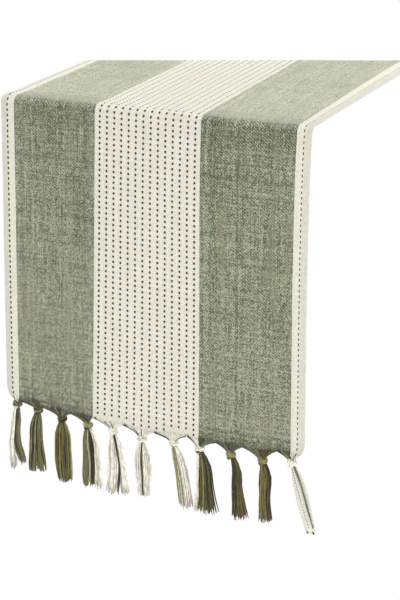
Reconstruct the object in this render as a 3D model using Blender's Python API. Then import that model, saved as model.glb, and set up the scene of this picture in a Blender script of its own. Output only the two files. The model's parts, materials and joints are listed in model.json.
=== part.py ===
"""Table runner with knotted tassels, draped across a table.

X runs across the cloth, Y runs along it, and Z is up. The origin is the middle of the cloth's
underside, where it lies on the table. The front drop hangs at -Y and the back drop at +Y.
The cloth is divided at its woven stripes and at its two folds, and each tassel is a piece.
"""

import math

import bmesh
import bpy
from mathutils import Matrix, Vector

MM = 0.001

# The cloth
BORDER_WIDTH = 16 * MM
LEFT_SAGE_WIDTH = 97 * MM
CENTRE_WIDTH = 121 * MM
RIGHT_SAGE_WIDTH = 106 * MM
WIDTH = 2 * BORDER_WIDTH + LEFT_SAGE_WIDTH + CENTRE_WIDTH + RIGHT_SAGE_WIDTH
PANEL_THICKNESS = 1.2 * MM
BORDER_THICKNESS = 1.8 * MM
GAP = 0.3 * MM  # clear space between neighbouring pieces

# The drape: the flat run on the table, then a fold around each table edge
TOP_RUN = 952 * MM
FOLD_RADIUS = 8 * MM  # inside of the fold
FOLD_STEPS = 8

# The hem, where the cloth is drawn together into knots
ARCH_HEIGHT = 6 * MM  # between two knots
CORNER_HEIGHT = 20 * MM  # where the selvedge curves in to the last knot
HEM_STEP = 4 * MM

# The tassels of the front hem, from -X to +X, in mm: the knot's distance from the cloth's -X
# edge, its depth below the fold's axis, how far the tip leans towards +X, and the length below
# the knot's centre. The cloth lies a little askew and its hem sags, so no two depths agree.
TASSELS = (
    (11, 342, -3, 79),
    (37, 345, -4, 75),
    (67, 350, 2, 76),
    (99, 353, 4, 74),
    (130, 355, 5, 75),
    (165, 358, 3, 68),
    (203, 356, 15, 75),
    (234, 358, 7, 75),
    (271, 359, 10, 74),
    (308, 360, 5, 71),
    (342, 357, 22, 78),
)
KNOT_RADIUS = 5 * MM
NECK_RADIUS = 3.2 * MM
SKIRT_RADIUS = 6.8 * MM
SKIRT_FLATNESS = 0.75  # a skirt's depth over its width
TASSEL_SIDES = 12

# Linear colours, and one roughness for all of the yarn
CREAM = (0.75, 0.72, 0.60)
SAGE = (0.30, 0.33, 0.23)
OLIVE = (0.19, 0.20, 0.09)
YARN_ROUGHNESS = 0.9

STRIPES = (
    ("left_border", BORDER_WIDTH, BORDER_THICKNESS, CREAM),
    ("left_sage_panel", LEFT_SAGE_WIDTH, PANEL_THICKNESS, SAGE),
    ("centre_panel", CENTRE_WIDTH, PANEL_THICKNESS, CREAM),
    ("right_sage_panel", RIGHT_SAGE_WIDTH, PANEL_THICKNESS, SAGE),
    ("right_border", BORDER_WIDTH, BORDER_THICKNESS, CREAM),
)
FRONT, BACK = -1, 1
END_NAMES = {FRONT: "front", BACK: "back"}


def clear_scene():
    """Remove every object that the file starts with."""
    for obj in list(bpy.data.objects):
        bpy.data.objects.remove(obj, do_unlink=True)


def yarn_material(name, colour):
    """A matte cotton material with one plain colour."""
    material = bpy.data.materials.new(name)
    material.use_nodes = True
    shader = material.node_tree.nodes["Principled BSDF"]
    shader.inputs["Base Color"].default_value = (*colour, 1)
    shader.inputs["Roughness"].default_value = YARN_ROUGHNESS
    shader.inputs["Metallic"].default_value = 0
    return material


def add_piece(name, bm, colour, parent=None, location=(0, 0, 0)):
    """Turn a finished bmesh into the object of one sub-part."""
    bmesh.ops.recalc_face_normals(bm, faces=bm.faces)
    mesh = bpy.data.meshes.new(name)
    bm.to_mesh(mesh)
    bm.free()
    mesh.materials.append(yarn_material(name, colour))
    piece = bpy.data.objects.new(name, mesh)
    piece.location = location
    piece.parent = parent
    bpy.context.collection.objects.link(piece)
    return piece


def add_fold_axis(end):
    """An empty on the line that the drop at one end turns about."""
    axis = bpy.data.objects.new(END_NAMES[end] + "_fold_axis", None)
    axis.location = (0, end * TOP_RUN / 2, -FOLD_RADIUS)
    bpy.context.collection.objects.link(axis)
    return axis


def stripe_spans():
    """Each stripe as its name, its two X limits, its thickness and its colour."""
    spans = []
    left = -WIDTH / 2
    for name, width, thickness, colour in STRIPES:
        right = left + width
        low = left if not spans else left + GAP / 2
        high = right if len(spans) == len(STRIPES) - 1 else right - GAP / 2
        spans.append((name, low, high, thickness, colour))
        left = right
    return spans


def tassels(end):
    """Each tassel of one end, from -X to +X: its knot's X and depth, its lean and its length."""
    front = [
        (knot * MM - WIDTH / 2, depth * MM, lean * MM, length * MM)
        for knot, depth, lean, length in TASSELS
    ]
    if end == FRONT:
        return front
    return [(-knot, depth, -lean, length) for knot, depth, lean, length in reversed(front)]


def hem_depth(x, end):
    """How far the hem at x lies below the fold's axis: points at the knots, arches between."""
    points = [(knot, depth - KNOT_RADIUS - GAP) for knot, depth, _, _ in tassels(end)]
    first, last = points[0], points[-1]
    if x < first[0]:
        share = (first[0] - x) / (first[0] + WIDTH / 2)
        return first[1] - CORNER_HEIGHT * share**1.5
    if x > last[0]:
        share = (x - last[0]) / (WIDTH / 2 - last[0])
        return last[1] - CORNER_HEIGHT * share**1.5
    for (low, start), (high, stop) in zip(points, points[1:]):
        if low <= x <= high:
            share = (x - low) / (high - low)
            arch = ARCH_HEIGHT * math.sin(math.pi * share) ** 0.8
            return start + (stop - start) * share - arch


def hem_stations(low, high, end):
    """X positions from low to high, close enough for the hem's curve, with every knot in them."""
    knots = [knot for knot, *_ in tassels(end) if low + GAP < knot < high - GAP]
    stops = [low, *knots, high]
    stations = [low]
    for start, stop in zip(stops, stops[1:]):
        steps = math.ceil((stop - start) / HEM_STEP)
        stations += [start + (stop - start) * (i + 1) / steps for i in range(steps)]
    return stations


def build_top(name, low, high, thickness, colour):
    """The part of a stripe that lies on the table: a flat slab."""
    bm = bmesh.new()
    size = (high - low, TOP_RUN - GAP, thickness)
    centre = Vector(((low + high) / 2, 0, thickness / 2))
    bmesh.ops.create_cube(bm, size=1, matrix=Matrix.LocRotScale(centre, None, size))
    add_piece(name + "_top", bm, colour)


def build_fold(name, low, high, thickness, colour, end):
    """The part of a stripe that bends around the table's edge: a slab spun a quarter turn."""
    bm = bmesh.new()
    trim = GAP / 2 / FOLD_RADIUS
    lean = Matrix.Rotation(-end * trim, 3, "X")
    corners = (
        (low, FOLD_RADIUS),
        (high, FOLD_RADIUS),
        (high, FOLD_RADIUS + thickness),
        (low, FOLD_RADIUS + thickness),
    )
    centre = Vector((0, end * TOP_RUN / 2, -FOLD_RADIUS))
    section = bm.faces.new([bm.verts.new(centre + lean @ Vector((x, 0, z))) for x, z in corners])
    bmesh.ops.spin(
        bm,
        geom=[section],
        cent=centre,
        axis=(-end, 0, 0),
        angle=math.pi / 2 - 2 * trim,
        steps=FOLD_STEPS,
        use_duplicate=False,
    )
    add_piece(f"{name}_{END_NAMES[end]}_fold", bm, colour)


def build_drop(name, low, high, thickness, colour, end, axis):
    """The part of a stripe that hangs: a slab with the hem's points and arches as its foot."""
    bm = bmesh.new()
    inner = end * FOLD_RADIUS
    columns = []
    for x in hem_stations(low, high, end):
        head = bm.verts.new((x, inner, -GAP / 2))
        foot = bm.verts.new((x, inner, -hem_depth(x, end)))
        columns.append((head, foot))
    for (head, foot), (next_head, next_foot) in zip(columns, columns[1:]):
        bm.faces.new((head, foot, next_foot, next_head))
    raised = bmesh.ops.extrude_face_region(bm, geom=bm.faces[:], use_keep_orig=True)
    outer = [v for v in raised["geom"] if isinstance(v, bmesh.types.BMVert)]
    bmesh.ops.translate(bm, verts=outer, vec=(0, end * thickness, 0))
    add_piece(f"{name}_{END_NAMES[end]}_drop", bm, colour, axis)


def tassel_rings(lean, length):
    """Rings from the knot's top to the skirt's tip: X shift, depth, half width and half depth."""
    rings = []
    for turn in (0.1, 0.25, 0.4, 0.55, 0.7):
        angle = math.pi * turn
        radius = KNOT_RADIUS * math.sin(angle)
        rings.append((0, -KNOT_RADIUS * math.cos(angle), radius, radius))
    for share in (0.1, 0.3, 0.55, 0.8, 0.95, 1):
        depth = KNOT_RADIUS * 0.9 + (length - KNOT_RADIUS * 0.9) * share
        swell = math.sin(min(share / 0.9, 1) * math.pi / 2)
        radius = NECK_RADIUS + (SKIRT_RADIUS - NECK_RADIUS) * swell
        rings.append((lean * share**1.2, depth, radius, radius * SKIRT_FLATNESS))
    return rings


def build_tassel(number, knot, depth, lean, length, end, axis):
    """A knot with its skirt of yarn, one closed body about the knot's centre."""
    bm = bmesh.new()
    rings = tassel_rings(lean, length)
    loops = []
    for i, (shift, below, half_width, half_depth) in enumerate(rings):
        scale = (half_width, half_depth, 1)
        place = Matrix.LocRotScale(Vector((shift, 0, -below)), None, scale)
        made = bmesh.ops.create_circle(
            bm,
            segments=TASSEL_SIDES,
            radius=1,
            cap_ends=i in (0, len(rings) - 1),
            matrix=place,
        )
        verts = set(made["verts"])
        loops.append([e for e in bm.edges if e.verts[0] in verts and e.verts[1] in verts])
    for upper, lower in zip(loops, loops[1:]):
        bmesh.ops.bridge_loops(bm, edges=upper + lower)
    colour = CREAM if abs(knot) < CENTRE_WIDTH / 2 or abs(knot) > WIDTH / 2 - BORDER_WIDTH else OLIVE
    place = (knot, end * (FOLD_RADIUS + PANEL_THICKNESS / 2), -depth)
    piece = add_piece(f"{END_NAMES[end]}_tassel_{number:02d}", bm, colour, axis, place)
    piece.data.shade_smooth()


def main():
    """Build the whole runner."""
    clear_scene()
    spans = stripe_spans()
    for span in spans:
        build_top(*span)
    for end in (FRONT, BACK):
        axis = add_fold_axis(end)
        for span in spans:
            build_fold(*span, end)
            build_drop(*span, end, axis)
        for number, tassel in enumerate(tassels(end), start=1):
            build_tassel(number, *tassel, end, axis)


main()
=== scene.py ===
import json
import math
import random

import bmesh
import bpy
from mathutils import Matrix, Vector, noise


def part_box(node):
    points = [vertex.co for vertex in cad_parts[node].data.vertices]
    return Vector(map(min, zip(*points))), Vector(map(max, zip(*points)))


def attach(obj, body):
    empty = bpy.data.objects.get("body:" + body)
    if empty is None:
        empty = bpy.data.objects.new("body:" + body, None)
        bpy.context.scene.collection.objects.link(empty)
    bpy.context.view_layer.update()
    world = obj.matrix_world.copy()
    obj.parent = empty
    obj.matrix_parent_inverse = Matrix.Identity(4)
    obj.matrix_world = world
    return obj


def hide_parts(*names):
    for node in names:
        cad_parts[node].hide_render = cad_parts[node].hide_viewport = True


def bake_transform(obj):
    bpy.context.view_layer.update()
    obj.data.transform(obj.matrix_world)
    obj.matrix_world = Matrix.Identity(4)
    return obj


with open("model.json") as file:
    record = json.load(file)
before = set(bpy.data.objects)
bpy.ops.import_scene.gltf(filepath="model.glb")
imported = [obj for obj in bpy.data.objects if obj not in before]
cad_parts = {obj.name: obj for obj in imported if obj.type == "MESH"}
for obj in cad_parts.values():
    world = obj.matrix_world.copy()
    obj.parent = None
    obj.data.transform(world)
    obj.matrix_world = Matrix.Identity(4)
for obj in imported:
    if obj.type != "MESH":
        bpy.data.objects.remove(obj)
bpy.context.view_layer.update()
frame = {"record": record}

bl_info = {
    "name": "Tasselled Table Runner",
    "version": (1, 0, 0),
    "blender": (4, 5, 0),
    "location": "View3D > Sidebar > Runner",
    "description": "Weaves a striped table runner, runs its stitches and ties its tassels",
    "category": "Object",
}

MM = 0.001
FRONT, BACK = -1, 1
END_NAMES = {FRONT: "front", BACK: "back"}
STRIPES = ("left_border", "left_sage_panel", "centre_panel", "right_sage_panel", "right_border")

# Where the cloth lies, taken from the solids
TOP_BOXES = [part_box(stripe + "_top") for stripe in STRIPES]
SEAMS = [
    TOP_BOXES[0][0].x,
    *[(left[1].x + right[0].x) / 2 for left, right in zip(TOP_BOXES, TOP_BOXES[1:])],
    TOP_BOXES[-1][1].x,
]
DROP_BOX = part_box("centre_panel_front_drop")
HALF_THICKNESS = (DROP_BOX[1].y - DROP_BOX[0].y) / 2
JOINTS = {joint["name"]: joint for joint in frame["record"]["behaviour"]["joints"]}
FOLD_AXIS = Vector(JOINTS["front_drop_lift"]["pos_m"])
TOP_HALF = -FOLD_AXIS.y
FOLD_RADIUS = -(DROP_BOX[0].y + DROP_BOX[1].y) / 2 - TOP_HALF
FOLD_LENGTH = math.pi / 2 * FOLD_RADIUS
TASSEL_COUNT = 11
KNOTS = [Vector(JOINTS[f"front_tassel_{n + 1:02d}_swing"]["pos_m"]) for n in range(TASSEL_COUNT)]
KNOT_DEPTHS = [FOLD_AXIS.z - knot.z for knot in KNOTS]

# The arches of the front hem between its knots, in mm: each one's top from the left selvedge,
# and its height above the line through the knots
ARCH_MARKS = (
    (20.5, 5), (50, 6), (85, 9), (114, 11), (148.5, 11),
    (183.5, 8), (221, 10), (254, 10), (285, 11), (324, 12),
)
ARCHES = [SEAMS[0] + place * MM for place, _ in ARCH_MARKS]
HEM_AT_KNOT = 9.5 * MM  # the hem's height above a knot's centre
CORNER_PULL = 24 * MM  # the selvedge curves in to the last knot over this length
TOP_SLANTS = (0.005, 0.012, 0.027, 0.044, 0.040, 0.020)  # each seam's slant across the table
SLANT_RUN = 300 * MM  # how far in from a fold the seams slant
STRAIGHTENING = 170 * MM  # the run over which they come back to straight
SIDE_SLIP = 3 * MM  # how far the cloth has slid sideways at a fold
HANG_LEAN = 0.022  # how far the centre's left seam leans outwards as it hangs, over its depth


def smooth(value):
    """0 below 0, 1 above 1, and an even rise between."""
    value = min(max(value, 0), 1)
    return value * value * (3 - 2 * value)


def mix(a, b, share):
    return a + (b - a) * share


# ---------------------------------------------------------------- the lie of the cloth


def knot_line(x, end):
    """How far below the fold's axis the line through the knots passes at x."""
    x *= -end
    points = list(zip([knot.x for knot in KNOTS], KNOT_DEPTHS))
    if x <= points[0][0]:
        return points[0][1]
    for (low, start), (high, stop) in zip(points, points[1:]):
        if x <= high:
            return mix(start, stop, (x - low) / (high - low))
    return points[-1][1]


def hem_line(x, end):
    """How far below the fold's axis the last pick of weft lies at x: high at the arches."""
    across = x * -end
    tops = [height * MM for _, height in ARCH_MARKS]
    marks = sorted([(knot.x, HEM_AT_KNOT) for knot in KNOTS] + list(zip(ARCHES, tops)))
    if across <= marks[0][0] or across >= marks[-1][0]:
        return knot_line(x, end) - HEM_AT_KNOT
    for (low, start), (high, stop) in zip(marks, marks[1:]):
        if across <= high:
            share = smooth((across - low) / (high - low))
            return knot_line(x, end) - mix(start, stop, share)


def slant_at(x):
    """The slant of the cloth's threads across the table at x, between those of the seams."""
    for (low, start), (high, stop) in zip(
        zip(SEAMS, TOP_SLANTS), zip(SEAMS[1:], TOP_SLANTS[1:])
    ):
        if x <= high:
            return mix(start, stop, max((x - low) / (high - low), 0))
    return TOP_SLANTS[-1]


def drift(x, depth, end):
    """How far a spot has slid sideways, as handling leaves a cloth not quite square."""
    x, side = x * -end, -end
    right = smooth((x - SEAMS[2] + 20 * MM) / (SEAMS[4] - SEAMS[2]))
    if depth <= 0:
        inward = -depth
        left = 1 - smooth((x - SEAMS[2]) / (SEAMS[3] - SEAMS[2]))
        slip = SIDE_SLIP * (right + left * smooth(inward / (40 * MM))) - slant_at(x) * inward
        return side * slip * (1 - smooth((inward - SLANT_RUN) / STRAIGHTENING))
    slip = SIDE_SLIP * right * math.exp(-depth / (60 * MM))
    slip -= HANG_LEAN * depth * math.exp(-(((x - SEAMS[2]) / (90 * MM)) ** 2))
    for knot, knot_depth, outward in (
        (KNOTS[0].x, KNOT_DEPTHS[0], -1),
        (KNOTS[-1].x, KNOT_DEPTHS[-1], 1),
    ):
        beyond = (x - knot) * outward
        if beyond > 0:
            pull = max((depth - knot_depth + CORNER_PULL) / CORNER_PULL, 0)
            slip -= outward * beyond * min(pull**2.2, 0.8)
    return side * slip


def waver(x, along, end):
    """How far the cloth stands off its smooth run, from handling and from its own weight."""
    depth = along - TOP_HALF - FOLD_LENGTH
    if depth < 0:
        lying = smooth((-depth - 20 * MM) / (60 * MM))
        return 0.35 * MM * lying * (1 + noise.noise(Vector((x * 14, end * along * 9, 3))))
    hanging = smooth(depth / (180 * MM))
    broad = noise.noise(Vector((x * 11, depth * 2.5, 7 + end)))
    narrow = noise.noise(Vector((x * 34, depth * 4, 17 + end)))
    return hanging * (2.6 * MM * broad + 0.8 * MM * narrow)


def drape(x, along, lift, end):
    """The place of a spot of cloth: across it, along it from its middle, and off its mid-plane."""
    run = along - TOP_HALF
    radius = FOLD_RADIUS + lift + waver(x, along, end)
    across = x + drift(x, run - FOLD_LENGTH, end)
    if run <= 0:
        out, up = TOP_HALF + run, radius
    elif run < FOLD_LENGTH:
        angle = run / FOLD_RADIUS
        out, up = TOP_HALF + radius * math.sin(angle), radius * math.cos(angle)
    else:
        out, up = TOP_HALF + radius, FOLD_LENGTH - run
    return Vector((across, end * out, FOLD_AXIS.z + up))


def facing(along, end):
    """The way that the cloth's outer face looks."""
    angle = min(max((along - TOP_HALF) / FOLD_LENGTH, 0), 1) * math.pi / 2
    return Vector((0, end * math.sin(angle), math.cos(angle)))


def outer_face(x):
    """The outer face's height above the mid-plane: the borders are doubled and roll over."""
    edge = min(abs(x - SEAMS[0]), abs(x - SEAMS[-1]))
    width = SEAMS[1] - SEAMS[0]
    if edge >= width:
        return HALF_THICKNESS
    share = 1 - edge / width
    rise = 0.5 * MM * smooth(share / 0.15)
    roll = 1.5 * MM * max((share - 0.55) / 0.45, 0) ** 1.3
    groove = 0.25 * MM * math.exp(-(((share - 0.5) / 0.06) ** 2))
    return HALF_THICKNESS + rise - roll - groove


def stripe_at(x):
    for name, low, high in zip(STRIPES, SEAMS, SEAMS[1:]):
        if x <= high:
            return name
    return STRIPES[-1]


# ---------------------------------------------------------------- materials


class Value:
    """A socket, so that arithmetic on it adds the Math nodes that it needs."""

    def __init__(self, nodes, socket):
        self.nodes = nodes
        self.socket = socket

    def math(self, operation, *others):
        return self.nodes.add("ShaderNodeMath", {"operation": operation}, [self, *others])

    def __add__(self, other):
        return self.math("ADD", other)

    __radd__ = __add__

    def __mul__(self, other):
        return self.math("MULTIPLY", other)

    __rmul__ = __mul__

    def __sub__(self, other):
        return self.math("SUBTRACT", other)

    def __rsub__(self, other):
        return self.nodes.add("ShaderNodeMath", {"operation": "SUBTRACT"}, [other, self])

    def __truediv__(self, other):
        return self.math("DIVIDE", other)


class Nodes:
    """The nodes of one material, with its shader and what is linked to it."""

    def __init__(self, name):
        self.material = bpy.data.materials.new(name)
        self.material.use_nodes = True
        self.tree = self.material.node_tree
        self.shader = self.tree.nodes["Principled BSDF"]

    def add(self, kind, settings, sockets, output=0):
        """A node: its settings first, then its sockets' values or links, by number or name."""
        node = self.tree.nodes.new(kind)
        for key, value in settings.items():
            setattr(node, key, value)
        pairs = sockets.items() if isinstance(sockets, dict) else enumerate(sockets)
        for key, value in pairs:
            if isinstance(value, Value):
                self.tree.links.new(value.socket, node.inputs[key])
            else:
                node.inputs[key].default_value = value
        return Value(self, node.outputs[output])

    def attribute(self, name, output):
        return self.add("ShaderNodeAttribute", {"attribute_name": name}, [], output)

    def blend(self, share, a, b, way="MIX"):
        """Two colours mixed by a share."""
        a, b = [c if isinstance(c, Value) else (*c, 1) for c in (a, b)]
        settings = {"data_type": "RGBA", "blend_type": way, "clamp_factor": True}
        return self.add("ShaderNodeMix", settings, {0: share, 6: a, 7: b}, 2)

    def split(self, vector):
        """The three numbers of a vector."""
        x = self.add("ShaderNodeSeparateXYZ", {}, [vector])
        outputs = x.socket.node.outputs
        return [Value(self, outputs[i]) for i in range(3)]

    def vector(self, x, y, z=0.0):
        return self.add("ShaderNodeCombineXYZ", {}, [x, y, z])

    def random(self, vector):
        """A number from 0 to 1 for each whole place."""
        return self.add("ShaderNodeTexWhiteNoise", {"noise_dimensions": "3D"}, {"Vector": vector})

    def cloudy(self, vector, scale, detail=2.0):
        """Soft noise, about 0.5."""
        sockets = {"Vector": vector, "Scale": scale, "Detail": detail, "Roughness": 0.6}
        return self.add("ShaderNodeTexNoise", {"noise_dimensions": "3D"}, sockets)

    def finish(self, colour, roughness, height, distance, sheen, sheen_tint=(1, 1, 1)):
        """Link the shader's colour and bump, and set what is the same all over."""
        self.tree.links.new(colour.socket, self.shader.inputs["Base Color"])
        bump = self.add(
            "ShaderNodeBump", {}, {"Strength": 1.0, "Distance": distance, "Height": height}
        )
        self.tree.links.new(bump.socket, self.shader.inputs["Normal"])
        self.shader.inputs["Roughness"].default_value = roughness
        self.shader.inputs["Specular IOR Level"].default_value = 0.15
        self.shader.inputs["Sheen Weight"].default_value = sheen
        self.shader.inputs["Sheen Roughness"].default_value = 0.5
        self.shader.inputs["Sheen Tint"].default_value = (*sheen_tint, 1)
        return self.material


WARP_WIDTH, WEFT_WIDTH = 0.8 * MM, 0.9 * MM
SPECK_WIDTH, SPECK_LENGTH = 1.1 * MM, 1.3 * MM
YARN_ROUGHNESS = 0.9


def woven(name, light, dark, odd, contrast, streaks_and_painted_shade, painted_top_light, sheen, sheen_tint):
    """A weave of plied threads: warp along the cloth, weft across it, each thread its own tone.
    Painted shade darkens it a little just below each fold, near the hem and on the outer half of each
    border, and painted light, whose strength is one of its arguments, makes it paler where it lies on the
    table."""
    nodes = Nodes(name)
    place = nodes.attribute("cloth", 1)
    across, along, above_hem = nodes.split(place)
    warp, weft = across / WARP_WIDTH, along / WEFT_WIDTH
    warp_number, weft_number = warp.math("FLOOR"), weft.math("FLOOR")
    speck_column = (across / SPECK_WIDTH).math("FLOOR")
    speck_row = (along / SPECK_LENGTH).math("FLOOR")
    speck = nodes.random(nodes.vector(speck_column, speck_row))
    warp_tone = nodes.random(nodes.vector(warp_number, 0.5, 3.0))
    weft_tone = nodes.random(nodes.vector(0.5, weft_number, 7.0))
    slub = nodes.cloudy(nodes.vector(across * 420, along * 22), 1.0, 3.0)
    fleck = nodes.cloudy(nodes.vector(across * 800, along * 520), 1.0, 2.0)
    twill = ((across * 1500 + along * 1900).math("SINE")) * nodes.cloudy(
        nodes.vector(across * 120, along * 120, 9.0), 1.0
    )
    depth = along.math("ABSOLUTE") - (TOP_HALF + FOLD_LENGTH)
    lying = (depth / (-40 * MM)).math("MAXIMUM", 0.0).math("MINIMUM", 1.0)
    # painted shade: the weave is painted a little darker just below each fold, fading down the drop
    painted_fold_shade = (1.0 - lying) * (depth / (-90 * MM)).math("EXPONENT")
    cloud = nodes.cloudy(nodes.vector(across * 16, along * 7), 1.0, 2.0)
    # streaks sets both the weave's own streaky tone and the strength of its painted shade
    tone = (
        0.46
        + contrast * (1.4 * (speck - 0.5) + 2.0 * (fleck - 0.5) + 0.7 * twill)
        + streaks_and_painted_shade * (3.0 * (slub - 0.5) + 0.8 * (warp_tone - 0.5) + 0.8 * (weft_tone - 0.5))
        + 1.0 * streaks_and_painted_shade * (cloud - 0.5)
        - 0.4 * streaks_and_painted_shade * painted_fold_shade
    )
    # painted shade: near the hem the weave is painted darker in streaks, where it puckers towards the knots
    near_hem = (1 - above_hem / (22 * MM)).math("MAXIMUM", 0.0)
    painted_pucker_shade = nodes.cloudy(nodes.vector(across * 420, along * 12, 2.0), 1.0, 2.0)
    tone = tone - 1.6 * near_hem * streaks_and_painted_shade * (painted_pucker_shade + 0.1)
    colour = nodes.blend(tone, dark, light)
    stain = nodes.cloudy(nodes.vector(across * 90, along * 9, 5.0), 1.0, 3.0)
    colour = nodes.blend((stain - 0.52) * 3.0, colour, odd)
    # painted shade: the outer half of each border, where it rolls over away from the light, is painted
    # darker
    painted_roll_shade = ((across.math("ABSOLUTE") - (SEAMS[-1] - 8 * MM)) / (2 * MM)).math("MAXIMUM", 0.0)
    # painted light: the weave is painted paler where it lies on the table; this gain also carries the
    # painted shade of the rolled border
    painted_light_gain = 1.0 + painted_top_light * lying - 0.13 * painted_roll_shade.math("MINIMUM", 1.0)
    colour = nodes.blend(1.0, colour, nodes.vector(painted_light_gain, painted_light_gain, painted_light_gain), "MULTIPLY")
    over_warp = (warp * math.pi).math("SINE").math("ABSOLUTE")
    over_weft = (weft * math.pi).math("SINE").math("ABSOLUTE")
    turn = ((warp_number + weft_number) * 0.5).math("FRACT") * 2.0
    height = turn * over_warp + (1 - turn) * over_weft + 0.8 * fleck
    return nodes.finish(colour, YARN_ROUGHNESS, height, 0.25 * MM, sheen, sheen_tint)


def yarn(name, sheen, worn=0.0):
    """Plied yarn: the strand's own colour, with painted shade between the plies, which wind round it.
    worn is how much its far end has browned."""
    nodes = Nodes(name)
    dye = nodes.attribute("dye", 0)
    side, face, along = nodes.split(nodes.attribute("strand", 1))
    turn = face.math("ARCTAN2", side)
    ply = ((turn * 2.0 + along * 2600.0).math("SINE") + 1.0) * 0.5
    start = nodes.split(dye)[0] * 97.0
    fleck = nodes.cloudy(nodes.vector(side + start, face, along * 210), 1.0, 3.0)
    # painted shade in the grooves between the plies, times the yarn's own flecked tone
    painted_ply_shade_and_fleck = 0.8 + 0.2 * ply + 2.4 * (fleck - 0.5)
    painted_ply_shade_and_fleck = painted_ply_shade_and_fleck.math("MAXIMUM", 0.35).math("MINIMUM", 1.6)
    grey = nodes.vector(painted_ply_shade_and_fleck, painted_ply_shade_and_fleck, painted_ply_shade_and_fleck)
    colour = nodes.blend(1.0, dye, grey, "MULTIPLY")
    if worn:
        share = (along - 58 * MM) / (14 * MM) * fleck * worn
        colour = nodes.blend(share, colour, (0.25, 0.16, 0.09))
    return nodes.finish(colour, YARN_ROUGHNESS, ply + fleck, 0.3 * MM, sheen)


# ---------------------------------------------------------------- meshes


def piece_of(name, bm, material, sharp=None):
    """Turn a finished bmesh into a piece."""
    bmesh.ops.recalc_face_normals(bm, faces=bm.faces)
    mesh = bpy.data.meshes.new(name)
    bm.to_mesh(mesh)
    bm.free()
    mesh.materials.append(material)
    mesh.shade_smooth()
    if sharp:
        mesh.set_sharp_from_angle(angle=sharp)
    piece = bpy.data.objects.new(name, mesh)
    bpy.context.collection.objects.link(piece)
    return piece


def hang(piece):
    """Bake a piece's place into its mesh: it already lies on the table and hangs over the fold as it was
    woven.
    """
    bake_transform(piece)


def stations(low, high, step, marks=()):
    """Places from low to high, no further than step apart, with every mark among them."""
    stops = [low, *sorted(m for m in marks if low + 0.2 * MM < m < high - 0.2 * MM), high]
    places = [low]
    for start, stop in zip(stops, stops[1:]):
        count = math.ceil((stop - start) / step)
        places += [mix(start, stop, (i + 1) / count) for i in range(count)]
    return places


EVEN_DEPTH = 300 * MM  # the rows of a drop are level down to here, and then follow the hem
HEM_ROWS = 20


def weave_stripe(number, end, material):
    """One stripe of one half of the cloth, from the table's middle to the hem."""
    name, low, high = STRIPES[number], SEAMS[number], SEAMS[number + 1]
    border = number in (0, len(STRIPES) - 1)
    marks = [-end * x for x in [knot.x for knot in KNOTS] + ARCHES]
    columns = stations(low, high, (1 if border else 3) * MM, marks)
    flat_end, fold_end = TOP_HALF, TOP_HALF + FOLD_LENGTH
    squeeze = fold_end + EVEN_DEPTH
    rows = (
        stations(0, flat_end - 20 * MM, 12 * MM)
        + stations(flat_end - 20 * MM, flat_end, 5 * MM)[1:]
        + stations(flat_end, fold_end, 1.3 * MM)[1:]
        + stations(fold_end, squeeze, 6 * MM)[1:]
    )
    bm = bmesh.new()
    layer = bm.verts.layers.float_vector.new("cloth")
    bmesh.ops.create_grid(
        bm, x_segments=len(columns) - 1, y_segments=len(rows) + HEM_ROWS - 1, size=1
    )
    for vert in bm.verts:
        x = columns[round((vert.co.x + 1) / 2 * (len(columns) - 1))]
        row = round((vert.co.y + 1) / 2 * (len(rows) + HEM_ROWS - 1))
        if row < len(rows):
            along = rows[row]
        else:
            hem = fold_end + hem_line(x, end)
            along = mix(squeeze, hem, (row - len(rows) + 1) / HEM_ROWS)
        vert[layer] = (x, end * along, max(fold_end + hem_line(x, end) - along, 0))
    raised = bmesh.ops.extrude_face_region(bm, geom=bm.faces[:], use_keep_orig=True)
    outer = {v for v in raised["geom"] if isinstance(v, bmesh.types.BMVert)}
    for vert in bm.verts:
        x, along, _ = vert[layer]
        lift = outer_face(x) if vert in outer else -HALF_THICKNESS
        vert.co = drape(x, abs(along), lift, end)
    return piece_of(f"{name}_{END_NAMES[end]}", bm, material, sharp=math.radians(50))


TEMPLATES = {}
STRAND_START = TOP_HALF + 300 * MM  # where strands count as lying along the cloth: low on a drop, clear of the painted shade below the folds and the painted light on the table


def tube(rings, sides):
    """A closed tube about Z, one unit in radius and in length, made once and copied."""
    key = (rings, sides)
    if key not in TEMPLATES:
        bm = bmesh.new()
        bmesh.ops.create_grid(bm, x_segments=sides, y_segments=rings - 1, size=1)
        for vert in bm.verts:
            turn = math.pi * vert.co.x
            vert.co = (math.cos(turn), math.sin(turn), (vert.co.y + 1) / 2)
        bmesh.ops.remove_doubles(bm, verts=bm.verts, dist=1e-5)
        bmesh.ops.holes_fill(bm, edges=[e for e in bm.edges if e.is_boundary], sides=0)
        mesh = bpy.data.meshes.new("tube")
        bm.to_mesh(mesh)
        bm.free()
        TEMPLATES[key] = mesh
    return TEMPLATES[key]


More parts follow.
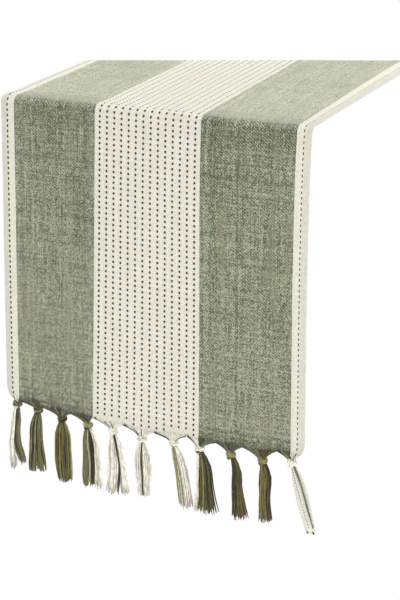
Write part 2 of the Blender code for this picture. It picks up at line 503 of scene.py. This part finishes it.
class Bundle:
    """Strands of yarn, gathered into one piece."""

    def __init__(self):
        self.strands = []

    def add(self, points, radius, dye, face=(0, -1, 0), flat=1.0, sides=5, taper=0.6):
        """A strand through the points. flat is its thickness towards face over its width."""
        self.strands.append((points, radius, dye, face, flat, sides, taper))

    def build(self, name, material):
        bm = bmesh.new()
        dye_layer = bm.verts.layers.float_color.new("dye")
        place_layer = bm.verts.layers.float_vector.new("strand")
        cloth_layer = bm.verts.layers.float_vector.new("cloth")
        for points, _, _, _, _, sides, _ in self.strands:
            bm.from_mesh(tube(len(points), sides))
        verts = iter(list(bm.verts))
        for points, radius, dye, face, flat, sides, taper in self.strands:
            last = len(points) - 1
            frames, run = [], 0
            for i, point in enumerate(points):
                ahead, behind = points[min(i + 1, last)], points[max(i - 1, 0)]
                tangent = (ahead - behind).normalized()
                look = face[i] if isinstance(face, list) else Vector(face)
                side = tangent.cross(look).normalized()
                out = side.cross(tangent).normalized()
                run += (point - points[max(i - 1, 0)]).length
                frames.append((point, side, out, run))
            for _ in tube(len(points), sides).vertices:
                vert = next(verts)
                x, y, z = vert.co
                ring = round(z * last)
                point, side, out, run = frames[ring]
                size = radius[ring] if isinstance(radius, list) else radius
                if ring in (0, last):
                    size *= taper
                vert.co = point + side * (x * size) + out * (y * size * flat)
                vert[dye_layer] = (*dye, 1)
                vert[place_layer] = (x, y, run)
                vert[cloth_layer] = (x * size, STRAND_START + run, 1)
        return piece_of(name, bm, material)


# ---------------------------------------------------------------- settings


def colour_property(name, description, default):
    return bpy.props.FloatVectorProperty(
        name=name, description=description, default=default, size=3, subtype="COLOR",
        min=0, max=1,
    )


def length_property(name, description, default):
    return bpy.props.FloatProperty(
        name=name, description=description, default=default, min=0, subtype="DISTANCE",
        unit="LENGTH",
    )


class RunnerCloth(bpy.types.PropertyGroup):
    """The weave's colours and the running stitches."""

    cream: colour_property("Cream", "Undyed cotton", (0.715, 0.695, 0.595))
    sage_light: colour_property("Light sage", "The sage weave's lighter threads", (0.36, 0.388, 0.25))
    sage_dark: colour_property("Dark sage", "The sage weave's darker threads", (0.010, 0.017, 0.004))
    thread: colour_property("Thread", "The running stitches", (0.035, 0.036, 0.028))
    stitch_pitch: length_property("Stitch pitch", "From one stitch to the next", 5.85 * MM)
    stitch_length: length_property("Stitch", "The part of a stitch that shows", 2.8 * MM)
    thread_width: length_property("Thread width", "The running thread's width", 2.3 * MM)


class RunnerTassels(bpy.types.PropertyGroup):
    """The yarns of the tassels."""

    cream: colour_property("Cream yarn", "Undyed yarn ends", (0.92, 0.88, 0.76))
    sage: colour_property("Sage yarn", "Sage yarn ends", (0.17, 0.16, 0.075))
    olive: colour_property("Olive yarn", "Olive yarn ends", (0.135, 0.115, 0.03))
    dark: colour_property("Dark yarn", "The darkest yarn ends", (0.038, 0.033, 0.018))
    brown: colour_property("Brown yarn", "Brown yarn ends", (0.105, 0.075, 0.032))
    strand_radius: length_property("Strand radius", "Half of a strand's width", 0.7 * MM)


class RunnerStage(bpy.types.PropertyGroup):
    """The floor and the lights."""

    floor: length_property("Floor", "How far the floor is below the cloth", 0.75)
    sky: bpy.props.FloatProperty(
        name="Sky", description="Brightness all round", default=1.0, min=0
    )
    overhead: bpy.props.FloatProperty(
        name="Overhead light", description="Power of the overhead light in watts", default=40, min=0
    )
    side: bpy.props.FloatProperty(
        name="Side light", description="Power of the side light in watts", default=25, min=0
    )


# ---------------------------------------------------------------- operators


class RUNNER_OT_cloth(bpy.types.Operator):
    """Weave the ten stripes, five on each side of the table's middle"""

    bl_idname = "runner.cloth"
    bl_label = "Weave Cloth"

    def execute(self, context):
        look = context.scene.runner_cloth
        cream = Vector(look.cream)
        sage_odd = (0.19, 0.175, 0.09)
        cream_odd = tuple(cream * 0.95)
        white, straw = (1, 1, 1), (1, 1, 0.85)
        sage = woven("sage_weave", look.sage_light, look.sage_dark, sage_odd, 0.9, 0.6, 0.5, 1.0, straw)
        centre = woven("cream_weave", cream * 1.1, cream * 0.88, cream_odd, 0.6, 0.3, 0.0, 0.2, white)
        border = woven("border_weave", cream * 1.12, cream * 0.9, cream_odd, 0.6, 0.3, 0.0, 0.2, white)
        woven("strip_weave", cream * 1.1, cream * 0.92, cream_odd, 0.6, 0.3, 0.0, 0.2, white)
        materials = (border, sage, centre, sage, border)
        for end in (FRONT, BACK):
            side = END_NAMES[end]
            for number, stripe in enumerate(STRIPES):
                piece = weave_stripe(number, end, materials[number])
                hang(piece)
                nodes = [f"{stripe}_{side}_fold", f"{stripe}_{side}_drop"]
                if end == FRONT:
                    nodes.append(stripe + "_top")
                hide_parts(*nodes)
        return {"FINISHED"}


STITCH_ROW_SLOPE = 0.018
STITCH_COLUMNS = 14
STITCH_COLUMN_PITCH = 8.39 * MM
STITCH_THICKNESS = 0.28  # over its width
LYING_STITCH = 0.78  # the thread sinks in where it lies flat, so less of it shows
BORDER_STITCH = 1.15  # the borders' stitches are longer
BORDER_THREADS = {"left": 1.1, "right": 0.75}  # their width over the centre's


def stitch_columns(number):
    """The places across the cloth of one stripe's running threads."""
    low, high = SEAMS[number], SEAMS[number + 1]
    middle = (low + high) / 2
    if number != 2:
        return [middle]
    first = middle - (STITCH_COLUMNS - 1) / 2 * STITCH_COLUMN_PITCH
    return [first + i * STITCH_COLUMN_PITCH for i in range(STITCH_COLUMNS)]


def stitch_thread(x, end, look):
    """The path of one running thread: over the cloth for each stitch, and under between."""
    pitch = look.stitch_pitch
    stop = TOP_HALF + FOLD_LENGTH + hem_line(x, end) - 2 * MM
    over = outer_face(x)
    under = -HALF_THICKNESS
    in_border = over > HALF_THICKNESS
    fine = BORDER_THREADS["left" if x * -end < 0 else "right"] if in_border else 1
    points, faces, radii = [], [], []
    row = 0
    while True:
        centre = row * pitch - end * STITCH_ROW_SLOPE * x + pitch * 0.35
        lying = LYING_STITCH if centre < TOP_HALF - 5 * MM else 1
        half = look.stitch_length / 2 * (BORDER_STITCH if in_border else 1) * lying
        width = look.thread_width * fine * lying
        if centre + half > stop:
            break
        if centre - pitch > 0:
            profile = (
                (-half - 0.1 * MM, 0.0, over - 0.6 * MM),
                (-half + 0.2 * MM, 0.8, over),
                (0, 1.0, over + 0.05 * MM),
                (half - 0.2 * MM, 0.8, over),
                (half + 0.1 * MM, 0.0, over - 0.6 * MM),
                (pitch / 2, 0.0, under - 0.2 * MM),
            )
            for offset, swell, lift in profile:
                jitter = 0.12 * MM * math.sin(row * 2.4 + x * 900)
                points.append(drape(x + jitter, centre + offset, lift, end))
                faces.append(facing(centre + offset, end))
                radii.append(width / 2 * (0.6 + 0.4 * swell))
        row += 1
    return points, faces, radii


class RUNNER_OT_stitches(bpy.types.Operator):
    """Run the sixteen dark threads through the cloth"""

    bl_idname = "runner.stitches"
    bl_label = "Run Stitches"

    def execute(self, context):
        look = context.scene.runner_cloth
        material = yarn("stitch_thread", 0.1)
        for end in (FRONT, BACK):
            side = END_NAMES[end]
            for number, stripe in enumerate(STRIPES):
                if "sage" not in stripe:
                    bundle = Bundle()
                    for x in stitch_columns(number):
                        points, faces, radii = stitch_thread(x, end, look)
                        bundle.add(
                            points, radii, look.thread, face=faces, flat=STITCH_THICKNESS, sides=4, taper=0.5
                        )
                    piece = bundle.build(f"{stripe}_stitches_{side}", material)
                    hang(piece)
        return {"FINISHED"}


def dye_of(look, name, rng):
    """A yarn's colour, a little different for each strand."""
    cream, sage, olive, dark, brown = (
        Vector(c) for c in (look.cream, look.sage, look.olive, look.dark, look.brown)
    )
    weave = Vector((0.135, 0.15, 0.095))
    choices = {
        "cream": ((cream, 8), (cream * 0.85, 4), (cream * 0.6, 1.5)),
        "drawn": ((cream * 0.78, 3), (cream * 0.7, 1)),
        "grey": ((cream * 0.5, 2), (sage * 1.6, 2)),
        "green": ((sage, 4), (olive * 0.7, 3), (dark, 3), (sage * 1.6, 2)),
        "olive": ((olive, 4), (olive * 1.6, 2), (dark, 3), (sage * 0.6, 2), (sage * 1.5, 1)),
        "weave": ((weave, 3), (weave * 0.75, 2), (weave * 1.25, 1)),
        "pale": ((sage * 2.1, 3), (sage * 1.6, 2), (olive * 1.8, 1)),
        "dark": ((dark, 3), (olive * 0.6, 2)),
        "brown": ((brown, 3), (dark, 4), (brown * 2, 1), (olive, 2)),
        "thread": ((dark * 0.9, 1),),
    }[name]
    tone = rng.choices([c for c, _ in choices], [w for _, w in choices])[0]
    return tuple(tone * rng.uniform(0.88, 1.12))


GATHER_STEP = 1.3 * MM
GATHER_FAN = 9 * MM  # how far to each side of a knot the darkest ends reach, partly as painted shade
GATHER_NARROWING = 0.17  # the fan's width at its knot over its width at the hem
THREAD_PROUD = 0.7 * MM  # how far a stitch thread's end stands off the other ends


def gather(number, end, look, rng):
    """The yarns between the hem and one knot, fanned out along the hem."""
    bundle = Bundle()
    knot = KNOTS[number]
    edges = [SEAMS[0] + 2 * MM, *ARCHES, SEAMS[-1] - 2 * MM]
    low, high = edges[number] + 0.4 * MM, edges[number + 1] - 0.4 * MM
    count = round((high - low) / GATHER_STEP)
    fold_end = TOP_HALF + FOLD_LENGTH
    threads = [x * -end for i in (0, 2, 4) for x in stitch_columns(i)]
    outward = [Vector((0, end, 0))] * 6
    for i in range(count + 1):
        across = mix(low, high, i / count)
        cloth_x = across * -end
        near = min(abs(across - t) for t in threads)
        middle = math.exp(-(((across - knot.x) / GATHER_FAN) ** 2))
        jag = rng.uniform(0.5, 3.5) * MM
        name, proud = "drawn", 0.0
        if "sage" in stripe_at(cloth_x):
            # dark ends crowd towards the knot's middle: partly the yarn's own dark olive, partly painted
            # shade in the gathered V
            dark = rng.random() < 0.1 + 0.8 * middle
            name = "dark" if dark else rng.choice(("weave", "weave", "olive"))
            jag += 3 * MM * middle
        elif near < GATHER_STEP / 2 and rng.random() < 0.75:
            name, proud = "thread", THREAD_PROUD
        # the first three ends of each fan but the first knot's are dark yarn: partly dark warp threads,
        # partly painted shade in the fold along the fan's left edge
        if i in (0, 1, 2) and number > 0:
            name = "dark"
        hem = fold_end + hem_line(cloth_x, end)
        face = outer_face(cloth_x)
        begin = drape(cloth_x, hem - jag, face - 0.2 * MM, end)
        top = drape(cloth_x, hem, face + 0.2 * MM + proud, end)
        stop = Vector(
            (
                -end * (knot.x + (across - knot.x) * GATHER_NARROWING) + rng.uniform(-0.4, 0.4) * MM,
                end * (TOP_HALF + FOLD_RADIUS + rng.uniform(0.3, 1.8) * MM + 2 * proud),
                knot.z + 2.2 * MM,
            )
        )
        bend = top.lerp(stop, 0.7)
        bend.z = mix(top.z, stop.z, 0.3)
        bend.y += end * 0.8 * MM
        points = [begin, top]
        for share in (0.35, 0.7, 1.0):
            points.append(top.lerp(bend, share).lerp(bend.lerp(stop, share), share))
        points.append(stop + Vector((0, -end * 0.5 * MM, -2 * MM)))
        radius = 0.45 * MM if name == "thread" else 0.75 * MM
        bundle.add(points, radius, dye_of(look, name, rng), face=outward, flat=0.8, taper=0.4)
    return bundle


def is_cream(number):
    """Whether a tassel's yarn counts as cream, as the centre's three and the two end ones do."""
    return 4 <= number <= 6 or number in (0, TASSEL_COUNT - 1)


class RUNNER_OT_gathers(bpy.types.Operator):
    """Gather the warp ends below the hem towards the knots"""

    bl_idname = "runner.gathers"
    bl_label = "Gather Ends"

    def execute(self, context):
        look = context.scene.runner_tassels
        material = yarn("gathered_yarn", 0.3)
        rng = random.Random(11)
        for end in (FRONT, BACK):
            side = END_NAMES[end]
            for number in range(TASSEL_COUNT):
                shown = number + 1 if end == FRONT else TASSEL_COUNT - number
                piece = gather(number, end, look, rng).build(f"{side}_gather_{shown:02d}", material)
                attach(piece, side + "_drop")
        return {"FINISHED"}


# Each tassel's locks: yarn, strands, length in mm, and then in mm the lock's middle and its
# half width at its neck, a quarter and three fifths of the way down, and at its tip.
LOCK_STOPS = (0, 0.24, 0.6, 1)
LOCKS = (
    (
        ("cream", 26, 79, (-1.5, -4.5, -8.0, -6.5), (1.5, 3.4, 4.2, 4.2)),
        ("green", 24, 71, (0.8, 0.0, -1.6, 5.5), (1.4, 3.8, 4.4, 4.8)),
    ),
    (
        ("green", 28, 75, (-1.5, -5.0, -6.2, -8.6), (1.5, 5.2, 6.2, 5.4)),
        ("green", 28, 74, (1.2, -1.0, -1.0, 3.2), (1.5, 5.0, 6.2, 5.2)),
    ),
    (
        ("olive", 52, 76, (0, 0.4, 0.4, 2.0), (2.0, 8.4, 9.8, 8.2)),
        ("grey", 6, 74, (1.5, 7.8, 9.2, 9.8), (0.8, 1.4, 1.6, 2.0)),
    ),
    (
        ("green", 20, 74, (-1.5, -1.8, -2.6, -3.6), (1.5, 4.2, 4.3, 3.8)),
        ("dark", 14, 72, (0.5, 4.2, 4.8, 4.5), (1.2, 3.6, 4.2, 4.2)),
        ("cream", 18, 74, (1.5, 9.2, 11.0, 12.2), (1.2, 2.8, 3.4, 5.2)),
        ("grey", 3, 73, (0.5, 0.8, 3.4, 3.0), (0.4, 0.5, 0.6, 1.6)),
    ),
    (
        ("cream", 34, 75, (-1.0, -1.2, -1.0, -3.0), (2.0, 5.0, 5.6, 6.4)),
        ("cream", 20, 74, (1.5, 7.2, 10.2, 13.6), (1.5, 3.4, 3.8, 5.0)),
        ("thread", 3, 73, (1.0, 5.8, 8.8, 7.2), (0.4, 0.5, 0.6, 0.8)),
    ),
    (
        ("cream", 52, 68, (0, 0.3, 1.7, 2.2), (2.0, 8.0, 9.4, 6.6)),
        ("thread", 4, 66, (0.5, 1.6, 2.2, 2.6), (0.4, 0.6, 0.7, 0.9)),
    ),
    (
        ("cream", 46, 75, (0.5, 6.0, 11.6, 15.0), (2.0, 6.8, 8.0, 8.2)),
        ("grey", 5, 72, (0, 4.8, 10.4, 13.0), (0.4, 3.0, 4.4, 4.6)),
    ),
    (
        ("cream", 14, 75, (-1.5, -1.2, -2.2, -3.6), (1.0, 1.8, 2.2, 3.2)),
        ("olive", 48, 75, (1.0, 6.4, 7.6, 10.4), (1.5, 6.6, 8.2, 12.0)),
    ),
    (
        ("olive", 24, 75, (1.5, 5.4, 6.0, 8.2), (1.5, 3.8, 4.4, 6.4)),
        ("brown", 20, 73, (3.0, 8.8, 10.6, 15.0), (1.2, 3.2, 3.6, 6.4)),
    ),
    (
        ("olive", 26, 71, (0.5, 0.6, 0.6, 1.4), (1.5, 4.4, 4.4, 5.8)),
        ("brown", 20, 70, (2.5, 7.2, 5.4, 8.4), (1.2, 3.6, 3.6, 4.4)),
    ),
    (("weave", 4, 70, (2.6, 10.6, 18.2, 26.0), (0.4, 0.6, 0.7, 0.6)),),
)
STRIP_MIDDLES = (1.5, 7.8, 15.2, 23.4)  # of the uncut strip, which is the last tassel
STRIP_HALVES = (2.8, 6.8, 7.2, 5.8)
KNOT_DYES = (
    ("green", "cream"), ("green", "dark"), ("olive", "dark"), ("pale", "dark"),
    ("cream", "cream"), ("cream", "cream"), ("cream", "cream"), ("cream", "olive"),
    ("pale", "olive"), ("pale", "olive"), ("cream", "cream"),
)
STRAND_RINGS = 9
CORED_LOCK = 8  # a lock of more strands than this has a core
OVERLAID_LOCK = 6  # a lock of fewer strands than this lies over the widest one
GOLDEN_ANGLE = 2.39996  # spreads a lock's strands evenly over its section
KNOT_PLIES = 6  # strands in each band of a knot
KNOT_STEPS = 16
STRIP_LENGTH = 75  # mm
STRIP_RINGS = 24
STRIP_STITCHES = 24


def curve_through(values, t):
    """A smooth curve through the values of a lock at its stops."""
    slopes = []
    for i in range(len(values)):
        low, high = max(i - 1, 0), min(i + 1, len(values) - 1)
        slopes.append((values[high] - values[low]) / (LOCK_STOPS[high] - LOCK_STOPS[low]))
    for i, (start, stop) in enumerate(zip(LOCK_STOPS, LOCK_STOPS[1:])):
        if t <= stop:
            span = stop - start
            u = (t - start) / span
            return (
                (2 * u**3 - 3 * u**2 + 1) * values[i]
                + (u**3 - 2 * u**2 + u) * span * slopes[i]
                + (3 * u**2 - 2 * u**3) * values[i + 1]
                + (u**3 - u**2) * span * slopes[i + 1]
            )
    return values[-1]


def lock_of_yarn(bundle, lock, widest, turned, home, look, rng):
    """One lock of a tassel's skirt: a core, painted darker as painted shade between the strands, with its
    strands in and around it.
    A lock of a few strands lies over the widest one."""
    dye, count, length, middles, halves = lock
    outward = turned @ Vector((0, -1, 0))
    steps = [i / (STRAND_RINGS - 1) for i in range(STRAND_RINGS)]
    if count > CORED_LOCK:
        core = []
        for t in steps:
            fall = -1.5 - (length * 0.93 - 1.5) * t
            core.append(home + turned @ (Vector((curve_through(middles, t), 0, fall)) * MM))
        radii = [0.8 * curve_through(halves, t) * MM for t in steps]
        # painted shade: the core takes the lock's dye darkened, for the shade between its strands
        tone = tuple(0.8 * c for c in dye_of(look, dye, rng))
        bundle.add(core, radii, tone, face=outward, flat=0.45, sides=8, taper=0.5)
    for k in range(count):
        spread, turn = math.sqrt((k + 0.5) / count), k * GOLDEN_ANGLE
        side, depth = spread * math.cos(turn), spread * math.sin(turn)
        reach = length * (1 - 0.04 * side * side) * rng.uniform(0.94, 1.0)
        wander = rng.uniform(0, 6.28)
        stray = rng.uniform(-1, 1)
        points = []
        for t in steps:
            half = curve_through(halves, t)
            across = curve_through(middles, t) + side * half
            across += 0.5 * math.sin(9 * t + wander) + 0.8 * stray * t * t
            out = depth * max(0.55 * half, 0.8) + 0.3 * math.cos(6 * t + wander)
            if count < OVERLAID_LOCK:
                out += 0.5 + 0.55 * curve_through(widest, t)
            points.append(home + turned @ (Vector((across, -out, -1.5 - (reach - 1.5) * t)) * MM))
        bundle.add(points, look.strand_radius, dye_of(look, dye, rng), face=outward)


def knot_of_yarn(bundle, dyes, turned, home, look, rng):
    """The overhand knot: bands of yarn wound round the neck, crossing over one another."""
    bands = ((32, 1.5, 3.5, dyes[0]), (-38, -1.6, 3.4, dyes[-1]), (4, 0.2, 3.9, dyes[0]))
    for tilt, height, radius, dye in bands:
        lean = Matrix.Rotation(math.radians(tilt + rng.uniform(-8, 8)), 3, "Y")
        begin = rng.uniform(0, 6.28)
        for k in range(KNOT_PLIES):
            points = []
            for i in range(KNOT_STEPS + 1):
                turn = begin + i / KNOT_STEPS * 2 * math.pi
                minor = k / KNOT_PLIES * 2 * math.pi + turn
                size = radius + 1.5 * math.cos(minor)
                place = Vector(
                    (size * math.cos(turn), size * math.sin(turn) * 0.9, 1.9 * math.sin(minor))
                )
                points.append(home + turned @ ((lean @ place + Vector((0, 0, height))) * MM))
            bundle.add(points, 0.7 * MM, dye_of(look, dye, rng), face=(0, 0, 1), taper=1.0)


class RUNNER_OT_tassels(bpy.types.Operator):
    """Tie the eleven tassels of each hem"""

    bl_idname = "runner.tassels"
    bl_label = "Tie Tassels"

    def execute(self, context):
        look = context.scene.runner_tassels
        rng = random.Random(23)
        cream, olive = yarn("cream_yarn", 0.3, worn=0.8), yarn("olive_yarn", 0.12, worn=0.5)
        for end in (FRONT, BACK):
            side = END_NAMES[end]
            turned = Matrix.Rotation(0 if end == FRONT else math.pi, 3, "Z")
            for number, locks in enumerate(LOCKS):
                shown = number + 1 if end == FRONT else TASSEL_COUNT - number
                name = f"{side}_tassel_{shown:02d}"
                home = Vector(JOINTS[name + "_swing"]["pos_m"])
                bundle = Bundle()
                widest = max([lock[4] for lock in locks], key=sum)
                if number == TASSEL_COUNT - 1:
                    widest = STRIP_HALVES
                for lock in locks:
                    lock_of_yarn(bundle, lock, widest, turned, home, look, rng)
                knot_of_yarn(bundle, KNOT_DYES[number], turned, home, look, rng)
                pale = is_cream(number)
                piece = bundle.build(name + "_yarn", cream if pale else olive)
                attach(piece, name)
                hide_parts(name)
                if number == TASSEL_COUNT - 1:
                    self.selvedge(name, turned, home, context)
        return {"FINISHED"}

    def selvedge(self, name, turned, home, context):
        """The last tassel is a strip of the border, folded over, with its stitches still in."""
        look = context.scene.runner_cloth
        outward = turned @ Vector((0, -1, 0))

        def spot(t, aside, out):
            """A place on the strip, t of the way down it."""
            middle = curve_through(STRIP_MIDDLES, t)
            half = curve_through(STRIP_HALVES, t)
            place = Vector((middle + aside * half, -out, -2 - STRIP_LENGTH * t))
            return home + turned @ (place * MM), half

        strip = Bundle()
        points, radii = [], []
        for i in range(STRIP_RINGS):
            t = i / (STRIP_RINGS - 1)
            point, half = spot(t, 0, 1.0)
            end_round = math.sqrt(max(1 - max((t - 0.93) / 0.07, 0) ** 2, 0.05))
            points.append(point)
            radii.append(half * MM * end_round)
        strip.add(points, radii, look.cream, face=outward, flat=0.25, sides=16, taper=0.7)
        piece = strip.build(name + "_strip", bpy.data.materials["strip_weave"])
        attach(piece, name)
        threads = Bundle()
        for i in range(STRIP_STITCHES):
            start = 0.06 + 0.86 * i / STRIP_STITCHES
            aside = mix(-0.5, -0.05, i / STRIP_STITCHES)
            lift = curve_through((0.55, 1.45, 1.6, 1.3), start) + 1.0
            dash = [
                spot(start + d, aside, lift + h)[0]
                for d, h in ((0, -0.9), (0.005, 0), (0.012, 0.1), (0.019, 0), (0.024, -0.9))
            ]
            threads.add(dash, 0.5 * MM, look.thread, face=outward, flat=0.6)
        for aside in (-0.62, 0.55):
            stub = [spot(t, aside, 1.6)[0] for t in (0.955, 0.97, 0.985, 1.0)]
            threads.add(stub, 1.0 * MM, look.thread, face=outward)
        piece = threads.build(name + "_strip_stitches", bpy.data.materials["stitch_thread"])
        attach(piece, name)


FLOOR_HALF_SIZE = 8
LIGHT_AIM = Vector((0, -0.3, -0.15))
CAMERA_PLACE = (1.0463, -2.6294, 0.5638)
CAMERA_DIP, CAMERA_TURN = math.radians(17.880), math.radians(24.771)
CAMERA_LENS = 141.13
CAMERA_SENSOR = 36
NEAR_CLIP, FAR_CLIP = 0.1, 2.677  # the far one ends the cloth on a straight line


class RUNNER_OT_stage(bpy.types.Operator):
    """Set the floor, the lights and the camera"""

    bl_idname = "runner.stage"
    bl_label = "Set Stage"

    def execute(self, context):
        look = context.scene.runner_stage
        scene = context.scene
        bm = bmesh.new()
        bmesh.ops.create_grid(bm, x_segments=1, y_segments=1, size=FLOOR_HALF_SIZE)
        bmesh.ops.translate(bm, verts=bm.verts, vec=(0, 0, -look.floor))
        nodes = Nodes("pale_floor")
        place = nodes.add("ShaderNodeTexCoord", {}, [], 3)
        grain = nodes.cloudy(place, 3.0)
        colour = nodes.blend(grain, (0.90, 0.90, 0.90), (0.93, 0.93, 0.93))
        nodes.finish(colour, 0.9, grain, 0.1 * MM, 0.0)
        piece_of("floor", bm, nodes.material)

        world = bpy.data.worlds.new("studio")
        world.use_nodes = True
        sky = world.node_tree.nodes["Background"].inputs
        sky["Color"].default_value = (1, 1, 1, 1)
        sky["Strength"].default_value = look.sky
        scene.world = world
        self.light("overhead", (-0.7, 0.5, 1.9), 2.0, look.overhead)
        self.light("side", (1.5, -2.6, -0.1), 1.2, look.side)

        camera = bpy.data.cameras.new("camera")
        camera.sensor_width = CAMERA_SENSOR
        camera.lens = CAMERA_LENS
        camera.clip_start = NEAR_CLIP
        camera.clip_end = FAR_CLIP
        holder = bpy.data.objects.new("camera", camera)
        holder.location = CAMERA_PLACE
        holder.rotation_euler = (math.pi / 2 - CAMERA_DIP, 0, CAMERA_TURN)
        scene.collection.objects.link(holder)
        scene.camera = holder
        scene.view_settings.view_transform = "Standard"
        return {"FINISHED"}

    def light(self, name, place, size, power):
        """A square light that the camera doesn't see, turned towards the front drop."""
        lamp = bpy.data.lights.new(name, "AREA")
        lamp.size = size
        lamp.energy = power
        holder = bpy.data.objects.new(name, lamp)
        holder.visible_camera = False
        holder.location = place
        aim = LIGHT_AIM - Vector(place)
        holder.rotation_euler = aim.to_track_quat("-Z", "Y").to_euler()
        bpy.context.scene.collection.objects.link(holder)


class RUNNER_PT_panel(bpy.types.Panel):
    """The steps of making the runner, in order"""

    bl_label = "Table Runner"
    bl_idname = "RUNNER_PT_panel"
    bl_space_type = "VIEW_3D"
    bl_region_type = "UI"
    bl_category = "Runner"

    def draw(self, context):
        for settings, operators in (
            (context.scene.runner_cloth, (RUNNER_OT_cloth, RUNNER_OT_stitches)),
            (context.scene.runner_tassels, (RUNNER_OT_gathers, RUNNER_OT_tassels)),
            (context.scene.runner_stage, (RUNNER_OT_stage,)),
        ):
            column = self.layout.column()
            for name in settings.bl_rna.properties.keys():
                if name not in ("rna_type", "name"):
                    column.prop(settings, name)
            for operator in operators:
                column.operator(operator.bl_idname)


CLASSES = (
    RunnerCloth,
    RunnerTassels,
    RunnerStage,
    RUNNER_OT_cloth,
    RUNNER_OT_stitches,
    RUNNER_OT_gathers,
    RUNNER_OT_tassels,
    RUNNER_OT_stage,
    RUNNER_PT_panel,
)


def register():
    for cls in CLASSES:
        bpy.utils.register_class(cls)
    bpy.types.Scene.runner_cloth = bpy.props.PointerProperty(type=RunnerCloth)
    bpy.types.Scene.runner_tassels = bpy.props.PointerProperty(type=RunnerTassels)
    bpy.types.Scene.runner_stage = bpy.props.PointerProperty(type=RunnerStage)


def unregister():
    del bpy.types.Scene.runner_stage
    del bpy.types.Scene.runner_tassels
    del bpy.types.Scene.runner_cloth
    for cls in reversed(CLASSES):
        bpy.utils.unregister_class(cls)


def main():
    register()
    bpy.ops.runner.cloth()
    bpy.ops.runner.stitches()
    bpy.ops.runner.gathers()
    bpy.ops.runner.tassels()
    bpy.ops.runner.stage()
    for mesh in TEMPLATES.values():
        bpy.data.meshes.remove(mesh)


if __name__ == "__main__":
    main()
